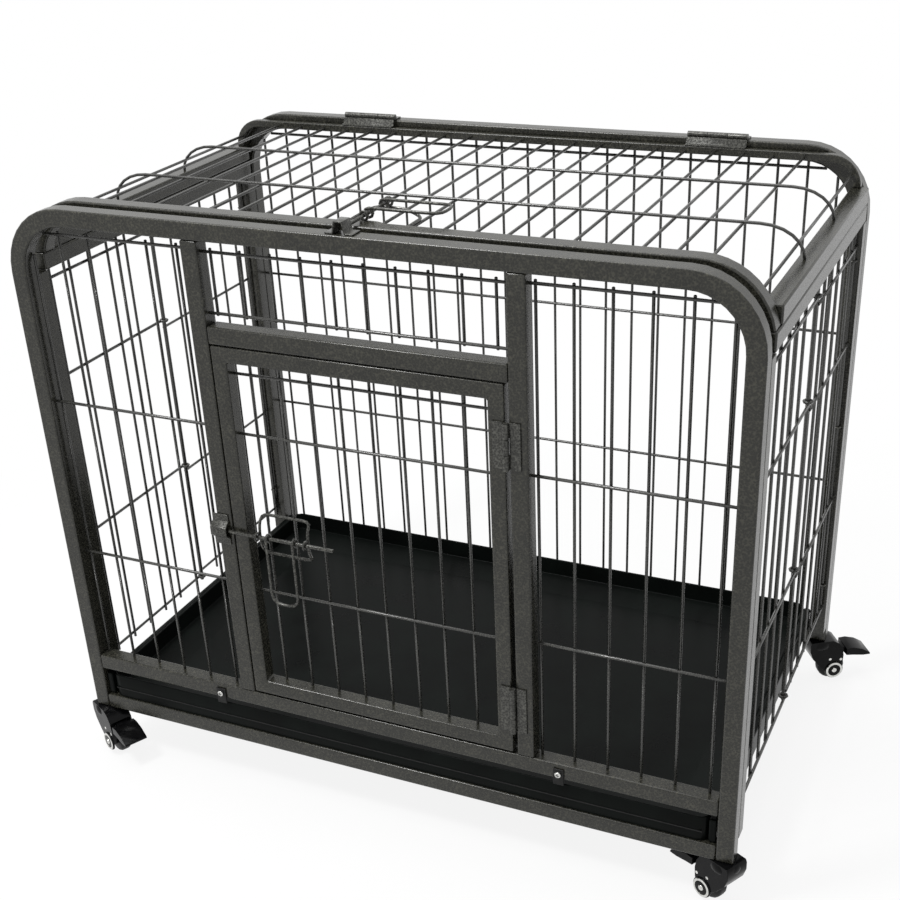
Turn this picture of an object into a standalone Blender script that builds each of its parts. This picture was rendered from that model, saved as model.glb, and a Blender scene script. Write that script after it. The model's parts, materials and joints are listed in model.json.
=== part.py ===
"""Folding dog cage: two arched tube frames joined by wire sides that fold at the middle,
a wire lid on two rear hinges, a front door, a slide-out tray and four braked casters.
Metres, +Z up, the floor at Z 0, the door facing -Y."""

from math import asin, cos, pi, radians, sin, sqrt

import bmesh
import bpy
from mathutils import Matrix, Vector

# Overall frame
LENGTH = 0.940
DEPTH = 0.554
FRAME_HEIGHT = 0.732
CASTER_HEIGHT = 0.072
TUBE = 0.022
CORNER_RADIUS = 0.085
CORNER_STEPS = 9
GAP = 0.0003

LEFT = -LENGTH / 2
RIGHT = LENGTH / 2
FRONT = -DEPTH / 2
BACK = DEPTH / 2
BASE = CASTER_HEIGHT
TOP = BASE + FRAME_HEIGHT

# Wire of the grilles
WIRE_RADIUS = 0.0017
WIRE_RESOLUTION = 1
WIRE_SIDES = 4 + 2 * WIRE_RESOLUTION
WELD_BITE = 0.0004
CROSSING = 2 * WIRE_RADIUS * cos(pi / WIRE_SIDES) - WELD_BITE
WIRE_OVERHANG = 0.0035
RING_POINTS = 8
RING_RESOLUTION = 1

# Front frame
LEFT_POST_INSET = 0.257
RIGHT_POST_INSET = 0.256
HEADER_DROP = 0.124
TRAY_SLOT_HEIGHT = 0.045
BAY_FIRST_WIRE = 0.0058
BAY_PITCH = 0.0427
BAY_TOP_BAR_DROP = 0.013
BAY_BARS = (0.253, 0.474)
HEADER_FIRST_WIRE = 0.009
HEADER_PITCH = 0.0397
HEADER_TOP_BAR_DROP = 0.015
HEADER_LOW_BAR_RISE = 0.013
FRONT_WIRE_SETBACK = 0.0155

# Door
DOOR_TUBE = 0.020
DOOR_GAP_LATCH_SIDE = 0.0015
DOOR_GAP_HINGE_SIDE = 0.0055
DOOR_GAP_BELOW = 0.0025
DOOR_GAP_ABOVE = 0.0014
DOOR_FIRST_WIRE = 0.0225
DOOR_PITCH = 0.0399
DOOR_BARS = (0.248, 0.469)
DOOR_TOP_BAR_DROP = 0.0366

# Back frame
BACK_PITCH = 0.0389
BACK_BARS = (0.044, 0.263, 0.482)
BACK_TOP_BAR_DROP = 0.009
BACK_WIRE_SETBACK = 0.013

# Side posts and the folding sides
SIDE_POST_DEPTH = 0.019
SIDE_POST_FOOT = 0.024
SIDE_WIRE_INSET = 0.008
END_ROD_RADIUS = 0.0017
MIDDLE_ROD_RADIUS = 0.00275
SIDE_BOTTOM = 0.0603
SIDE_TOP_CLEARANCE = 0.003
EYE_SLACK = 0.0003
BEND_SHARE = 2.2  # a bend takes at most one part in this many of the shorter straight beside it
EYE_WIRE_RADIUS = 0.0016
EYE_LEVELS = (0.110, 0.360)
TOP_EYE_DROP = 0.047
FRONT_HALF_BARS = (0.066, 0.260, 0.491)
FRONT_HALF_TOP_BAR_DROP = 0.015
REAR_HALF_BARS = (0.0738, 0.250, 0.480)
REAR_HALF_TOP_BAR_DROP = 0.025
FRONT_HALF_ENDS = (0.0125, 0.060)
REAR_HALF_ENDS = (0.043, 0.0271)
SIDE_UPRIGHTS = 5

# Lid
LID_FRONT_SETBACK = 0.038
LID_LEG_DROP = 0.070
LID_BAR = 0.010
LID_BAR_SETBACK = 0.027
LID_BAR_DROP = 0.008
LID_BAR_INSET = 0.009
LID_PITCH = 0.03865
LID_CROSS_WIRES = 21
LID_WIRE_DROP = 0.0145
LONG_WIRE_SETBACKS = (0.2115, 0.3695)
LONG_WIRE_END_INSET = 0.0126
LONG_WIRE_BEND = 0.051
LONG_WIRE_STEPS = 6

# Hinges
KNUCKLE_RADIUS = 0.004
PIN_RADIUS = 0.002
PIN_SLACK = 0.0003
KNUCKLE_SIDES = 12
LEAF_THICKNESS = 0.0016
LEAF_SLOPE = 1.5  # length of the leaf's slanted end over its thickness
LEAF_WIDTH = 0.017
KNUCKLE_GAP = 0.0006
DOOR_HINGE_LENGTHS = {"upper": 0.057, "lower": 0.065}
UPPER_HINGE_DROP = 0.0436
LOWER_HINGE_RISE = 0.0335
LID_HINGE_LENGTH = 0.080
LID_HINGE_INSETS = {"left": 0.191, "right": 0.159}
HINGE_RISE = KNUCKLE_RADIUS + GAP

# Slide-bolt latches
BOLT_RADIUS = 0.0025
BOLT_SLACK = 0.0004
LATCH_EYE_RADIUS = 0.0017
GUIDE_WIRE_RADIUS = 0.002
DOOR_GUIDE_SIDES = (0.025, 0.030)
HANDLE_WIRE_RADIUS = 0.002
HANDLE_WIDTH = 0.038
HANDLE_LENGTH = 0.090
HANDLE_BEND = 0.014
LATCH_BEND = 0.010
BEND_STEPS = 3
KEEPER_THICKNESS = 0.0016
KEEPER_FOOT = 0.009
KEEPER_CLEARANCE = 0.0015
DOOR_BOLT_LENGTH = 0.150
DOOR_BOLT_TIP_BACK = 0.003
DOOR_KEEPER_TIP_GAP = 0.0015
DOOR_BOLT_HEIGHT = 0.337
DOOR_BOLT_STANDOFF = 0.0045
DOOR_GUIDE = (0.0415, 0.1105)
DOOR_KEEPER_WIDTH = 0.023
DOOR_KEEPER_HALF = 0.0215
DOOR_KEEPER_RISE = 0.0055
LID_BOLT_LENGTH = 0.107
LID_BOLT_TIP_BACK = 0.002
LID_BOLT_OFFSET = -0.004
LID_BOLT_STANDOFF = 0.005
LID_GUIDE = (0.0398, 0.1012)
LID_GUIDE_SIDES = (LID_PITCH + LID_BOLT_OFFSET, LID_PITCH - LID_BOLT_OFFSET)
LID_KEEPER_WIDTH = 0.019
LID_KEEPER_HALF = 0.0175
LID_KEEPER_RISE = 0.010

# Tray
TRAY_SIDE_GAP = 0.011
TRAY_FRONT_SETBACK = 0.003
TRAY_REST_OVERLAP = 0.002
TRAY_HEIGHT = 0.0357
TRAY_WALL = 0.003
TRAY_CREASE = 0.0087
TRAY_BORDER = 0.048
TRAY_FLOOR = 0.003
TRAY_CORNER = 0.014
TRAY_FLOOR_CORNER = 0.004
TRAY_CORNER_STEPS = 4

# Tray clips
CLIP_INSETS = {"left": 0.225, "right": 0.223}
CLIP_WIDTH = 0.014
CLIP_THICKNESS = 0.002
CLIP_SCREW_RISE = 0.009
CLIP_REACH = 0.0165
CLIP_ABOVE = 0.007
SCREW_RADIUS = 0.0045
SCREW_HEAD = 0.0025

# Casters
WHEEL_RADIUS = 0.0205
WHEEL_WIDTH = 0.017
WHEEL_SIDES = 20
WHEEL_EDGE = 0.003
CASTER_TRAIL = 0.021
CASTER_SLOT = 0.019
CASTER_WIDTH = 0.034
AXLE_RADIUS = 0.003
AXLE_SLACK = 0.0003
AXLE_SIDES = 12
HOOD_ROOF = 0.017
HOOD_BACK = -0.002
PEDAL_PIN_RADIUS = 0.002
PEDAL_PIVOT = (0.027, -0.0245)
PEDAL_TONGUE = 0.016
HOOD_PROFILE = (
    (-0.0165, 0.0), (0.0165, 0.0), (0.027, -0.006), (0.033, -0.016), (0.035, -0.028),
    (0.034, -0.042), (0.030, -0.055), (0.021, -0.0605), (0.012, -0.057), (-0.003, -0.042),
    (-0.014, -0.028), (-0.0185, -0.015), (-0.0185, -0.004),
)
TONGUE_PROFILE = (
    (0.023, -0.022), (0.027, -0.0195), (0.042, -0.0185), (0.042, -0.028), (0.030, -0.0285),
    (0.026, -0.0285), (0.023, -0.027),
)
PEDAL_PROFILE = (
    (0.0395, -0.0175), (0.050, -0.017), (0.064, -0.021), (0.077, -0.029), (0.0775, -0.032),
    (0.066, -0.032), (0.050, -0.0295), (0.0395, -0.0285),
)
CASTER_AXLE_Z = WHEEL_RADIUS - CASTER_HEIGHT
CASTERS = {
    "front_left": (LEFT, FRONT, -27),
    "front_right": (RIGHT, FRONT, 152),
    "rear_left": (LEFT, BACK, 160),
    "rear_right": (RIGHT, BACK, 34),
}

HAMMERTONE = {"colour": (0.050, 0.050, 0.045), "roughness": 0.42, "metallic": 0.6}
DARK_WIRE = {"colour": (0.060, 0.060, 0.056), "roughness": 0.40, "metallic": 0.6}
PLATED = {"colour": (0.090, 0.090, 0.085), "roughness": 0.38, "metallic": 0.8}
BLACK_TRAY = {"colour": (0.012, 0.013, 0.013), "roughness": 0.38, "metallic": 0.0}
BLACK_NYLON = {"colour": (0.010, 0.010, 0.011), "roughness": 0.22, "metallic": 0.0}
TYRE = {"colour": (0.014, 0.014, 0.015), "roughness": 0.50, "metallic": 0.0}

UPRIGHT = Matrix.Rotation(radians(90), 4, "X")
SIDEWAYS = Matrix(((0, 0, 1, 0), (1, 0, 0, 0), (0, 1, 0, 0), (0, 0, 0, 1)))


def clear_scene():
    for old in list(bpy.data.objects):
        bpy.data.objects.remove(old, do_unlink=True)


def collection(name):
    made = bpy.data.collections.new(name)
    bpy.context.scene.collection.children.link(made)
    return made


def principled(name, finish):
    material = bpy.data.materials.new(name)
    material.use_nodes = True
    shader = material.node_tree.nodes["Principled BSDF"]
    shader.inputs["Base Color"].default_value = (*finish["colour"], 1.0)
    shader.inputs["Roughness"].default_value = finish["roughness"]
    shader.inputs["Metallic"].default_value = finish["metallic"]
    return material


def joint_axis(name, place, parent=None):
    empty = bpy.data.objects.new(name, None)
    PARTS.objects.link(empty)
    empty.empty_display_size = TUBE
    empty.location = place
    bpy.context.view_layer.update()
    if parent:
        empty.parent = parent
        empty.matrix_parent_inverse = parent.matrix_world.inverted()
    bpy.context.view_layer.update()
    return empty


def piece(name, mesh, finish, carrier):
    """A named sub-part that hangs from the empty on its joint's axis."""
    mesh.name = name
    mesh.materials.clear()
    mesh.materials.append(principled(name, finish))
    made = bpy.data.objects.new(name, mesh)
    PARTS.objects.link(made)
    made.parent = carrier
    made.matrix_parent_inverse = carrier.matrix_world.inverted()
    mesh.shade_smooth()
    mesh.set_sharp_from_angle(angle=radians(35))
    return made


def mesh_from(curve_or_helper, weld):
    graph = bpy.context.evaluated_depsgraph_get()
    mesh = bpy.data.meshes.new_from_object(curve_or_helper.evaluated_get(graph))
    mesh.transform(curve_or_helper.matrix_world)
    if weld:
        work = bmesh.new()
        work.from_mesh(mesh)
        bmesh.ops.remove_doubles(work, verts=work.verts, dist=0.00001)
        bmesh.ops.recalc_face_normals(work, faces=work.faces)
        work.to_mesh(mesh)
        work.free()
    return mesh


def curve_mesh(curve, matrix):
    helper = bpy.data.objects.new("helper_curve", curve)
    HELPERS.objects.link(helper)
    helper.matrix_world = matrix
    bpy.context.view_layer.update()
    mesh = mesh_from(helper, weld=True)
    bpy.data.objects.remove(helper)
    return mesh


def wires(paths, radius, closed=False, resolution=WIRE_RESOLUTION, matrix=Matrix.Identity(4)):
    """Round wires along the paths, with filled ends."""
    curve = bpy.data.curves.new("wires", "CURVE")
    curve.dimensions = "3D"
    curve.bevel_depth = radius
    curve.bevel_resolution = resolution
    curve.use_fill_caps = True
    for path in paths:
        spline = curve.splines.new("POLY")
        spline.points.add(len(path) - 1)
        spline.use_cyclic_u = closed
        for point, place in zip(spline.points, path):
            point.co = (*place, 1.0)
    return curve_mesh(curve, matrix)


def plate(outlines, thickness, matrix):
    """Flat outlines in the local XY plane, as thick as given, half to each side."""
    curve = bpy.data.curves.new("plate", "CURVE")
    curve.dimensions = "2D"
    curve.fill_mode = "BOTH"
    curve.extrude = thickness / 2
    for outline in outlines:
        spline = curve.splines.new("POLY")
        spline.points.add(len(outline) - 1)
        spline.use_cyclic_u = True
        for point, place in zip(spline.points, outline):
            point.co = (place[0], place[1], 0.0, 1.0)
    return curve_mesh(curve, matrix)


def box(low, high):
    work = bmesh.new()
    bmesh.ops.create_cube(work, size=1)
    size = Vector(high) - Vector(low)
    bmesh.ops.scale(work, vec=size, verts=work.verts)
    bmesh.ops.translate(work, vec=Vector(low) + size / 2, verts=work.verts)
    mesh = bpy.data.meshes.new("box")
    work.to_mesh(mesh)
    work.free()
    return mesh


def rod(start, end, radius, sides):
    """A round bar from start to end."""
    start = Vector(start)
    run = Vector(end) - start
    work = bmesh.new()
    bmesh.ops.create_cone(
        work, cap_ends=True, segments=sides, radius1=radius, radius2=radius, depth=run.length
    )
    turn = run.to_track_quat("Z", "Y").to_matrix().to_4x4()
    bmesh.ops.transform(work, matrix=Matrix.Translation(start + run / 2) @ turn, verts=work.verts)
    mesh = bpy.data.meshes.new("rod")
    work.to_mesh(mesh)
    work.free()
    return mesh


def combine(first, others, operation="UNION"):
    """Joins the other meshes to the first, or cuts them from it."""
    base = bpy.data.objects.new("helper_base", first)
    HELPERS.objects.link(base)
    helpers = []
    for other in others:
        helper = bpy.data.objects.new("helper_tool", other)
        HELPERS.objects.link(helper)
        helpers.append(helper)
        step = base.modifiers.new("join", "BOOLEAN")
        step.operation = operation
        step.solver = "EXACT"
        step.object = helper
    bpy.context.view_layer.update()
    mesh = mesh_from(base, weld=False)
    for helper in [base, *helpers]:
        bpy.data.objects.remove(helper)
    return mesh


def placed(mesh, matrix):
    mesh.transform(matrix)
    return mesh


def ring(centre, axis, radius, points=RING_POINTS):
    """Points of a ring round an axis, with its flats no nearer than the radius."""
    across = Vector(axis).orthogonal().normalized()
    other = Vector(axis).normalized().cross(across)
    reach = radius / cos(pi / points)
    angles = [2 * pi * k / points for k in range(points)]
    return [Vector(centre) + reach * (cos(a) * across + sin(a) * other) for a in angles]


def bent(points, radius, closed=False):
    """The path with each corner eased over the given length."""
    points = [Vector(p) for p in points]
    count = len(points)
    path = []
    for k, corner in enumerate(points):
        if not closed and k in (0, count - 1):
            path.append(corner)
            continue
        before = points[k - 1] - corner
        after = points[(k + 1) % count] - corner
        start = corner + before.normalized() * min(radius, before.length / BEND_SHARE)
        end = corner + after.normalized() * min(radius, after.length / BEND_SHARE)
        for step in range(BEND_STEPS + 1):
            t = step / BEND_STEPS
            path.append((1 - t) ** 2 * start + 2 * t * (1 - t) * corner + t**2 * end)
    return path


def arc_side(half_width, top, bottom, radius, inner):
    """One side of an arch's outline from its foot to the end of its corner, at +X."""
    reach = radius - inner
    centre = Vector((half_width - radius, top - radius))
    start = 0.0 if bottom <= centre.y else asin((bottom - centre.y) / reach)
    points = [] if start else [Vector((centre.x + reach, bottom))]
    for step in range(CORNER_STEPS + 1):
        angle = start + (pi / 2 - start) * step / CORNER_STEPS
        points.append(centre + reach * Vector((cos(angle), sin(angle))))
    return points


def mirrored(points):
    return [Vector((-p.x, p.y)) for p in reversed(points)]


def arch_outline(half_width, top, bottom, radius, tube):
    outer = arc_side(half_width, top, bottom, radius, 0.0)
    inner = arc_side(half_width, top, bottom, radius, tube)
    return [*outer, *mirrored(outer), *reversed(mirrored(inner)), *reversed(inner)]


def arch(half_width, top, bottom, radius, tube, front):
    outline = arch_outline(half_width, top, bottom, radius, tube)
    place = Matrix.Translation((0, front + tube / 2, 0)) @ UPRIGHT
    return plate([outline], tube, place)


INNER_RADIUS = CORNER_RADIUS - TUBE
ARC_SAG = INNER_RADIUS * (1 - cos(pi / 4 / CORNER_STEPS))
ARCH_CLEARANCE = GAP + ARC_SAG


def height_in_arch(x):
    """Height of the arch's underside over a place, for a wire of the grilles."""
    side = abs(x) + WIRE_RADIUS - (LENGTH / 2 - CORNER_RADIUS)
    if side <= 0:
        return TOP - TUBE - GAP
    room = max((INNER_RADIUS - ARCH_CLEARANCE) ** 2 - side**2, 0)
    return TOP - CORNER_RADIUS + sqrt(room)


def reach_in_arch(z):
    """Half the width inside the arch at a height, for a wire of the grilles."""
    rise = z + WIRE_RADIUS - (TOP - CORNER_RADIUS)
    if rise <= 0:
        return LENGTH / 2 - TUBE - GAP
    room = max((INNER_RADIUS - ARCH_CLEARANCE) ** 2 - rise**2, 0)
    return LENGTH / 2 - CORNER_RADIUS + sqrt(room)


def spaced(start, end, first, pitch):
    """Wire places from start by the pitch, while they stay a wire clear of the end."""
    places = []
    place = start + first
    while place < end - 2 * WIRE_RADIUS:
        places.append(place)
        place += pitch
    return places


def grille(uprights, bars, shift):
    """One welded panel: uprights (x, low, high) at y, bars (z, left, right) shifted from them."""
    y = shift["y"]
    posts = wires([[(x, y, low), (x, y, high)] for x, low, high in uprights], WIRE_RADIUS)
    across = y + shift["bars"]
    rails = wires([[(a, across, z), (b, across, z)] for z, a, b in bars], WIRE_RADIUS)
    return combine(posts, [rails])


clear_scene()
PARTS = collection("folding_dog_cage")
HELPERS = collection("cutters")

# Joint axes, from the back frame outwards
FOLD_HALF = (DEPTH - 2 * (TUBE + SIDE_POST_DEPTH + GAP)) / 2 - (
    END_ROD_RADIUS + EYE_SLACK + 2 * EYE_WIRE_RADIUS - WELD_BITE * 2
)
SIDE_X = LENGTH / 2 - SIDE_WIRE_INSET
HINGE_Y = BACK - TUBE
HINGE_Z = TOP + HINGE_RISE
back_frame = joint_axis("back_frame_origin", (0, BACK, BASE))
left_rear = joint_axis("left_rear_pivot", (-SIDE_X, FOLD_HALF, BASE), back_frame)
left_front = joint_axis("left_middle_pivot", (-SIDE_X, 0, BASE), left_rear)
front_frame = joint_axis("left_front_pivot", (-SIDE_X, -FOLD_HALF, BASE), left_front)
right_rear = joint_axis("right_rear_pivot", (SIDE_X, FOLD_HALF, BASE), back_frame)
right_front = joint_axis("right_middle_pivot", (SIDE_X, 0, BASE), right_rear)
braces = joint_axis("brace_lift_axis", (0, HINGE_Y, HINGE_Z), back_frame)
lid = joint_axis("lid_hinge_axis", (0, HINGE_Y, HINGE_Z), braces)

# The lid stands on two side braces, which stand on the side posts
SEAM = TOP - LID_LEG_DROP
BRACE_BOTTOM = SEAM - TUBE

# Back frame
piece("back_arch", arch(LENGTH / 2, TOP, BASE, CORNER_RADIUS, TUBE, BACK - TUBE), HAMMERTONE, back_frame)
piece(
    "back_lower_rail",
    box((LEFT + TUBE + GAP, BACK - TUBE, BASE), (RIGHT - TUBE - GAP, BACK, BASE + TUBE)),
    HAMMERTONE,
    back_frame,
)


def back_grille():
    y = BACK - BACK_WIRE_SETBACK
    half_count = int((LENGTH / 2 - TUBE - 2 * WIRE_RADIUS) / BACK_PITCH)
    places = [k * BACK_PITCH for k in range(-half_count, half_count + 1)]
    uprights = [(x, BASE + TUBE + GAP, height_in_arch(x)) for x in places]
    heights = [BASE + z for z in BACK_BARS] + [TOP - TUBE - BACK_TOP_BAR_DROP]
    bars = [(z, -reach_in_arch(z), reach_in_arch(z)) for z in heights]
    return grille(uprights, bars, {"y": y, "bars": -CROSSING})


piece("back_grille", back_grille(), DARK_WIRE, back_frame)

# Front frame
piece("front_arch", arch(LENGTH / 2, TOP, BASE, CORNER_RADIUS, TUBE, FRONT), HAMMERTONE, front_frame)
SLOT_BOTTOM = BASE + TUBE
SLOT_TOP = SLOT_BOTTOM + TRAY_SLOT_HEIGHT
RAIL_TOP = SLOT_TOP + TUBE
HEADER_TOP = TOP - HEADER_DROP
LEFT_POST = (LEFT + LEFT_POST_INSET, LEFT + LEFT_POST_INSET + TUBE)
RIGHT_POST = (RIGHT - RIGHT_POST_INSET - TUBE, RIGHT - RIGHT_POST_INSET)


def front_tube(name, x, z):
    piece(name, box((x[0], FRONT, z[0]), (x[1], FRONT + TUBE, z[1])), HAMMERTONE, front_frame)


BETWEEN_LEGS = (LEFT + TUBE + GAP, RIGHT - TUBE - GAP)
front_tube("front_lower_rail", BETWEEN_LEGS, (BASE, SLOT_BOTTOM))
front_tube("front_upper_rail", BETWEEN_LEGS, (SLOT_TOP, RAIL_TOP))
front_tube("door_post_left", LEFT_POST, (RAIL_TOP + GAP, TOP - TUBE - GAP))
front_tube("door_post_right", RIGHT_POST, (RAIL_TOP + GAP, TOP - TUBE - GAP))
front_tube("door_header", (LEFT_POST[1] + GAP, RIGHT_POST[0] - GAP), (HEADER_TOP - TUBE, HEADER_TOP))


def bay_grille(start, end, leg_side):
    """A front bay between a leg and a door post; leg_side is -1 on the left and 1 on the right."""
    y = FRONT + FRONT_WIRE_SETBACK
    top_bar = TOP - TUBE - BAY_TOP_BAR_DROP
    heights = [BASE + z for z in BAY_BARS] + [top_bar]
    places = spaced(start, end, BAY_FIRST_WIRE, BAY_PITCH)
    uprights = [
        (x, RAIL_TOP + GAP, min(top_bar + WIRE_OVERHANG, height_in_arch(x))) for x in places
    ]
    bars = []
    for z in heights:
        reach = reach_in_arch(z)
        if leg_side < 0:
            bars.append((z, -reach, end - GAP))
        else:
            bars.append((z, start + GAP, reach))
    return grille(uprights, bars, {"y": y, "bars": -CROSSING})


piece("front_grille_left", bay_grille(LEFT + TUBE, LEFT_POST[0], -1), DARK_WIRE, front_frame)
piece("front_grille_right", bay_grille(RIGHT_POST[1], RIGHT - TUBE, 1), DARK_WIRE, front_frame)


def header_grille():
    low = HEADER_TOP + HEADER_LOW_BAR_RISE
    high = TOP - TUBE - HEADER_TOP_BAR_DROP
    places = spaced(LEFT_POST[1], RIGHT_POST[0], HEADER_FIRST_WIRE, HEADER_PITCH)
    uprights = [(x, low - WIRE_OVERHANG, high + WIRE_OVERHANG) for x in places]
    bars = [(z, LEFT_POST[1] + GAP, RIGHT_POST[0] - GAP) for z in (low, high)]
    return grille(uprights, bars, {"y": FRONT + FRONT_WIRE_SETBACK, "bars": -CROSSING})


piece("header_grille", header_grille(), DARK_WIRE, front_frame)

# Side posts, with eyes for the end rods of the folding sides
EYE_REACH = END_ROD_RADIUS + EYE_SLACK + EYE_WIRE_RADIUS


def side_post(side, end):
    """A post behind a front leg (end -1) or before a back leg (end 1)."""
    outer = side * LENGTH / 2
    inner = side * (LENGTH / 2 - TUBE)
    near = end * (DEPTH / 2 - TUBE - GAP)
    far = end * (DEPTH / 2 - TUBE - GAP - SIDE_POST_DEPTH)
    low = (min(outer, inner), min(near, far), BASE + SIDE_POST_FOOT)
    high = (max(outer, inner), max(near, far), BRACE_BOTTOM - GAP)
    levels = [*(BASE + z for z in EYE_LEVELS), BRACE_BOTTOM - TOP_EYE_DROP]
    eyes = [ring((side * SIDE_X, end * FOLD_HALF, z), (0, 0, 1), EYE_REACH) for z in levels]
    loops = wires(eyes, EYE_WIRE_RADIUS, closed=True, resolution=RING_RESOLUTION)
    return combine(box(low, high), [loops])


for side_name, side in (("left", -1), ("right", 1)):
    piece(f"front_side_post_{side_name}", side_post(side, -1), HAMMERTONE, front_frame)
    piece(f"rear_side_post_{side_name}", side_post(side, 1), HAMMERTONE, back_frame)


def side_half(side, end, levels, top_bar_drop, ends):
    """Half of a folding side between an end rod and the middle; the bars lie outside."""
    x = side * SIDE_X
    bar_x = x + side * CROSSING
    low = BASE + SIDE_BOTTOM
    high = BRACE_BOTTOM - SIDE_TOP_CLEARANCE
    heights = [*(BASE + z for z in levels), high - top_bar_drop]
    tie = MIDDLE_ROD_RADIUS + EYE_SLACK + EYE_WIRE_RADIUS
    pitch = (FOLD_HALF - sum(ends)) / (SIDE_UPRIGHTS - 1)
    start, bar_end = (-FOLD_HALF, -tie) if end < 0 else (0.0, 0.0)
    places = [start + ends[0] + pitch * k for k in range(SIDE_UPRIGHTS)]
    uprights = [[(x, y, low), (x, y, high)] for y in [end * FOLD_HALF, *places]]
    bars = [[(bar_x, end * FOLD_HALF, z), (bar_x, bar_end, z)] for z in heights]
    panel = combine(wires(uprights, WIRE_RADIUS), [wires(bars, WIRE_RADIUS)])
    if end < 0:
        eyes = [ring((x, 0, z), (0, 0, 1), tie) for z in heights]
        hooks = wires(eyes, EYE_WIRE_RADIUS, closed=True, resolution=RING_RESOLUTION)
        return combine(panel, [hooks])
    middle = wires([[(x, 0, low), (x, 0, high)]], MIDDLE_ROD_RADIUS)
    return combine(panel, [middle])


for side_name, side, front, rear in (
    ("left", -1, left_front, left_rear),
    ("right", 1, right_front, right_rear),
):
    panel = side_half(side, -1, FRONT_HALF_BARS, FRONT_HALF_TOP_BAR_DROP, FRONT_HALF_ENDS)
    piece(f"side_front_half_{side_name}", panel, DARK_WIRE, front)
    panel = side_half(side, 1, REAR_HALF_BARS, REAR_HALF_TOP_BAR_DROP, REAR_HALF_ENDS)
    piece(f"side_rear_half_{side_name}", panel, DARK_WIRE, rear)

# Lid
LID_FRONT = FRONT + LID_FRONT_SETBACK
LID_BAR_BACK = BACK - LID_BAR_SETBACK
LID_BAR_TOP = TOP - LID_BAR_DROP
LID_RAIL_TOP = SEAM + TUBE
piece(
    "lid_front_arch",
    arch(LENGTH / 2, TOP, SEAM + GAP, CORNER_RADIUS, TUBE, LID_FRONT),
    HAMMERTONE,
    lid,
)
LID_BAR_RADIUS = LID_BAR_TOP - LID_RAIL_TOP - GAP
piece(
    "lid_back_bar",
    arch(
        LENGTH / 2 - LID_BAR_INSET,
        LID_BAR_TOP,
        LID_RAIL_TOP + GAP,
        LID_BAR_RADIUS,
        LID_BAR,
        LID_BAR_BACK - LID_BAR,
    ),
    HAMMERTONE,
    lid,
)


for side_name, side in (("left", -1), ("right", 1)):
    near, far = sorted((side * LENGTH / 2, side * (LENGTH / 2 - TUBE)))
    rail = box((near, LID_FRONT + TUBE + GAP, SEAM + GAP), (far, LID_BAR_BACK, LID_RAIL_TOP))
    brace = box((near, LID_FRONT, BRACE_BOTTOM), (far, LID_BAR_BACK, SEAM))
    piece(f"lid_side_rail_{side_name}", rail, HAMMERTONE, lid)
    piece(f"side_brace_{side_name}", brace, HAMMERTONE, braces)

LID_WIRE_Z = TOP - LID_WIRE_DROP


def long_wire_curve(angle):
    """A place on the long wires' bent end and its normal, from the rail at 0 to the flat at 90."""
    foot = LID_RAIL_TOP + GAP
    rise = LID_WIRE_Z + CROSSING - foot
    inset = LENGTH / 2 - LONG_WIRE_END_INSET - LONG_WIRE_BEND
    place = Vector((inset + LONG_WIRE_BEND * cos(angle), foot + rise * sin(angle)))
    inward = Vector((-rise * cos(angle), -LONG_WIRE_BEND * sin(angle))).normalized()
    return place, inward


def lid_grille():
    front = LID_FRONT + TUBE + GAP
    back = LID_BAR_BACK - LID_BAR - GAP
    half = (LID_CROSS_WIRES - 1) // 2
    places = [(k * LID_PITCH, LID_WIRE_Z) for k in range(-half, half + 1)]
    corner, inward = long_wire_curve(pi / 6)
    lower = corner + inward * CROSSING
    places += [(-lower.x, lower.y), (lower.x, lower.y)]
    cross = wires([[(x, front, z), (x, back, z)] for x, z in places], WIRE_RADIUS)
    side = [long_wire_curve(pi / 2 * k / LONG_WIRE_STEPS)[0] for k in range(LONG_WIRE_STEPS + 1)]
    outline = [*side, *mirrored(side)]
    rows = [[(p.x, FRONT + setback, p.y) for p in outline] for setback in LONG_WIRE_SETBACKS]
    return combine(cross, [wires(rows, WIRE_RADIUS)])


piece("lid_grille", lid_grille(), DARK_WIRE, lid)


def hinge_leaf(length, knuckles, profile, way, bored, pin):
    """A leaf along local X round the axis, with its knuckles and, on some, the pin."""
    clear = KNUCKLE_RADIUS + 2 * GAP
    flat = plate([profile], length, SIDEWAYS)
    parts = []
    for low, high in knuckles:
        under = -HINGE_RISE + GAP + WELD_BITE
        tab_ends = (0, way * (clear + WELD_BITE))
        tab_low = (low + GAP, min(tab_ends), under)
        tab_high = (high - GAP, max(tab_ends), under + LEAF_THICKNESS / 2)
        barrel = rod((low, 0, 0), (high, 0, 0), KNUCKLE_RADIUS, KNUCKLE_SIDES)
        parts += [box(tab_low, tab_high), barrel]
    leaf = combine(flat, parts)
    if bored:
        bore = rod((-length, 0, 0), (length, 0, 0), PIN_RADIUS + PIN_SLACK, KNUCKLE_SIDES)
        leaf = combine(leaf, [bore], "DIFFERENCE")
    if pin:
        reach = length / 2 - KNUCKLE_GAP
        leaf = combine(leaf, [rod((-reach, 0, 0), (reach, 0, 0), PIN_RADIUS, KNUCKLE_SIDES)])
    return leaf


def flat_leaf(way):
    low = -HINGE_RISE + GAP
    near = way * (KNUCKLE_RADIUS + 2 * GAP)
    far = way * LEAF_WIDTH
    return [(near, low), (far, low), (far, low + LEAF_THICKNESS), (near, low + LEAF_THICKNESS)]


def outer_knuckles(length):
    third = length / 3 - KNUCKLE_GAP / 2
    return [(-length / 2, -length / 2 + third), (length / 2 - third, length / 2)]


def middle_knuckle(length):
    half = length / 6 - KNUCKLE_GAP / 2
    return [(-half, half)]


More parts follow.
